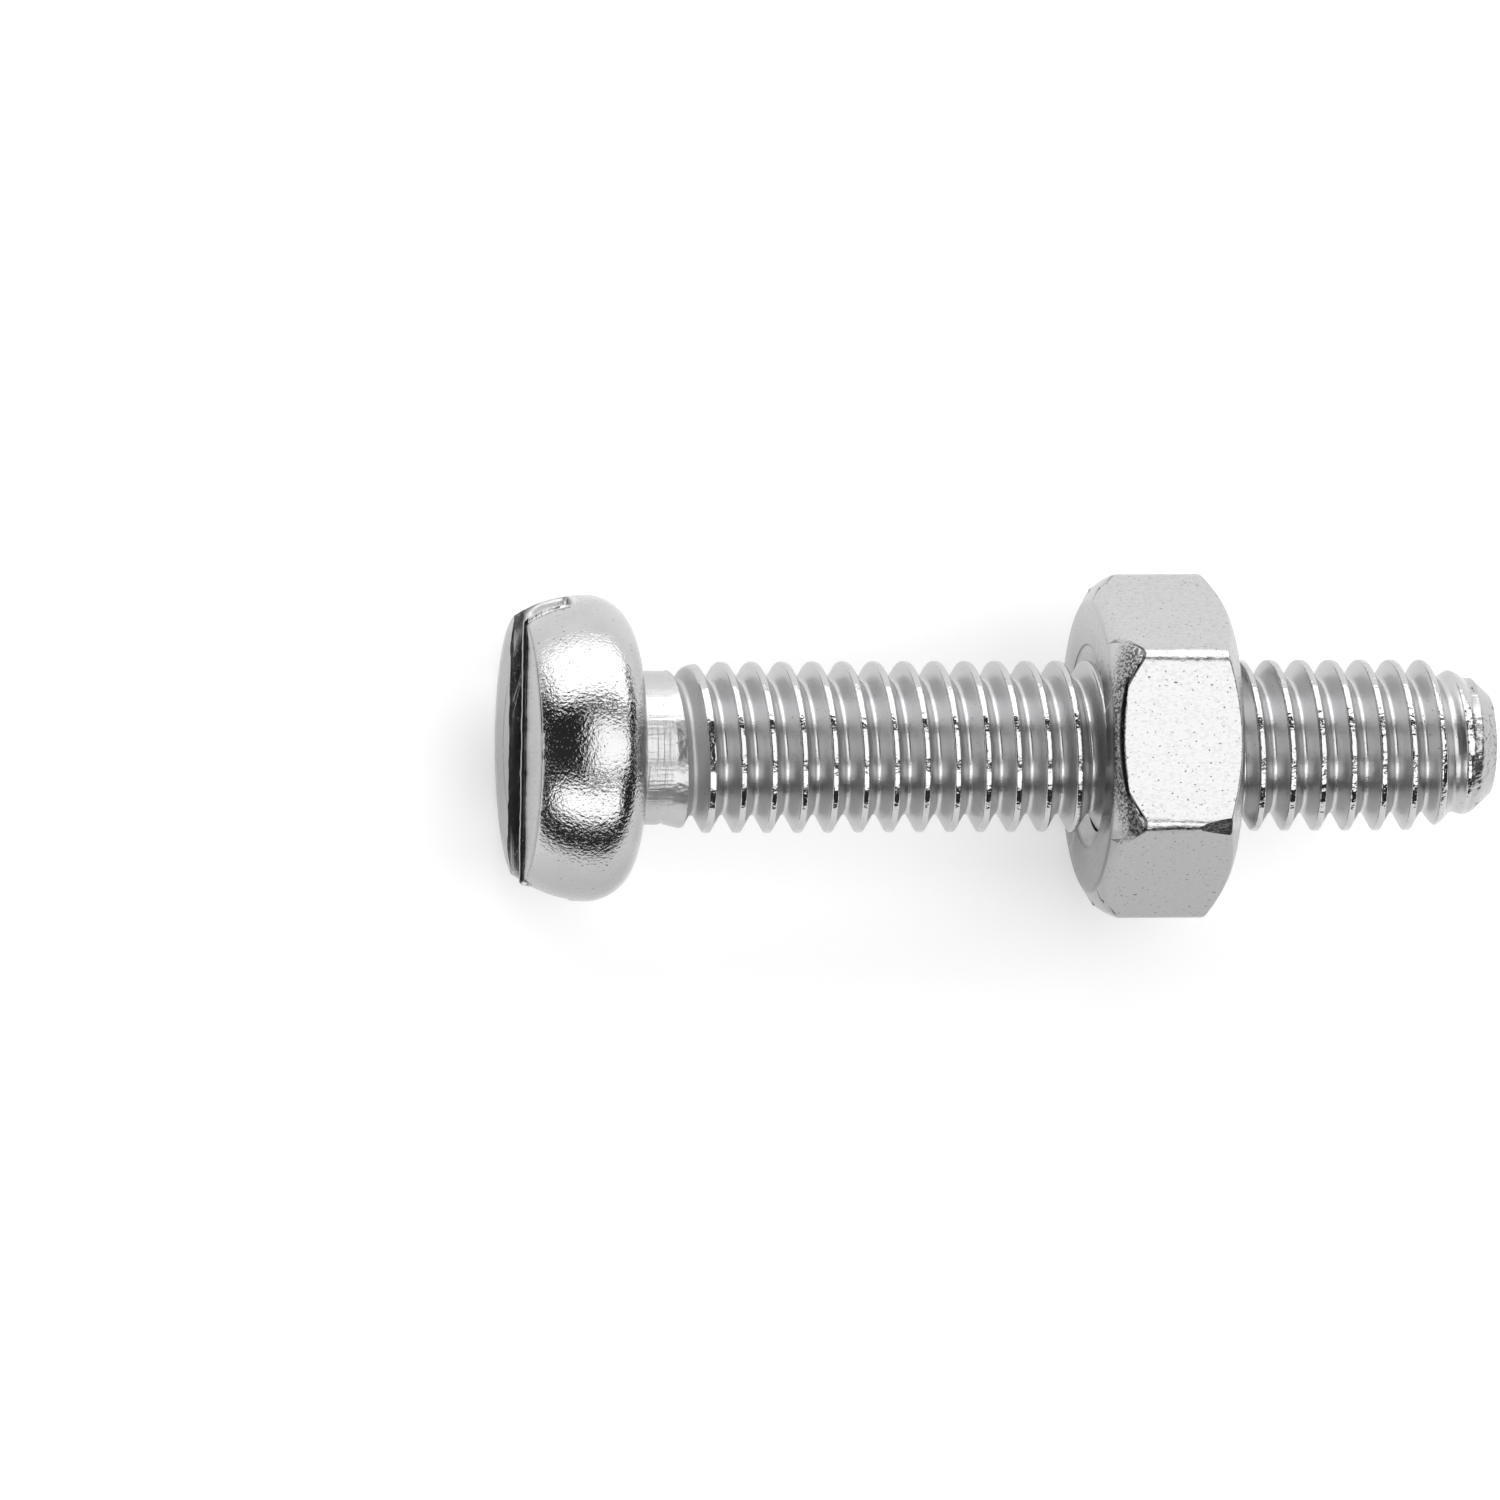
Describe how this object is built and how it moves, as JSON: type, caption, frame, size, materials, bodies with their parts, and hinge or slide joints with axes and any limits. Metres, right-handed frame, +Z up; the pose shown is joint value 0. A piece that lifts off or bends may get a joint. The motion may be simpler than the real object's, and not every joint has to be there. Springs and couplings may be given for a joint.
{
  "type": "cheese head screw with nut",
  "caption": "Slotted cheese head machine screw with a full-length coarse metric thread, carrying a hexagon nut.",
  "frame": {"origin": "on the screw's axis, in the plane of the bearing face under the head", "axes": "+X along the shank from the head to the tip, +Z up as the screw lies on a table, +Y to the side"},
  "size_m": [0.0224, 0.0078, 0.007],
  "materials": {
    "screw_plating": "bright zinc plate over rolled steel",
    "nut_plating": "bright zinc plate over pressed steel"
  },
  "bodies": {
    "screw": {"screw": "screw_plating"},
    "nut": {"nut": "nut_plating"}
  },
  "joints": [
    {"name": "nut_travel", "type": "slide", "parent": "screw", "child": "nut", "axis": [1, 0, 0], "range_m": [-0.0084, 0.0126]}
  ]
}
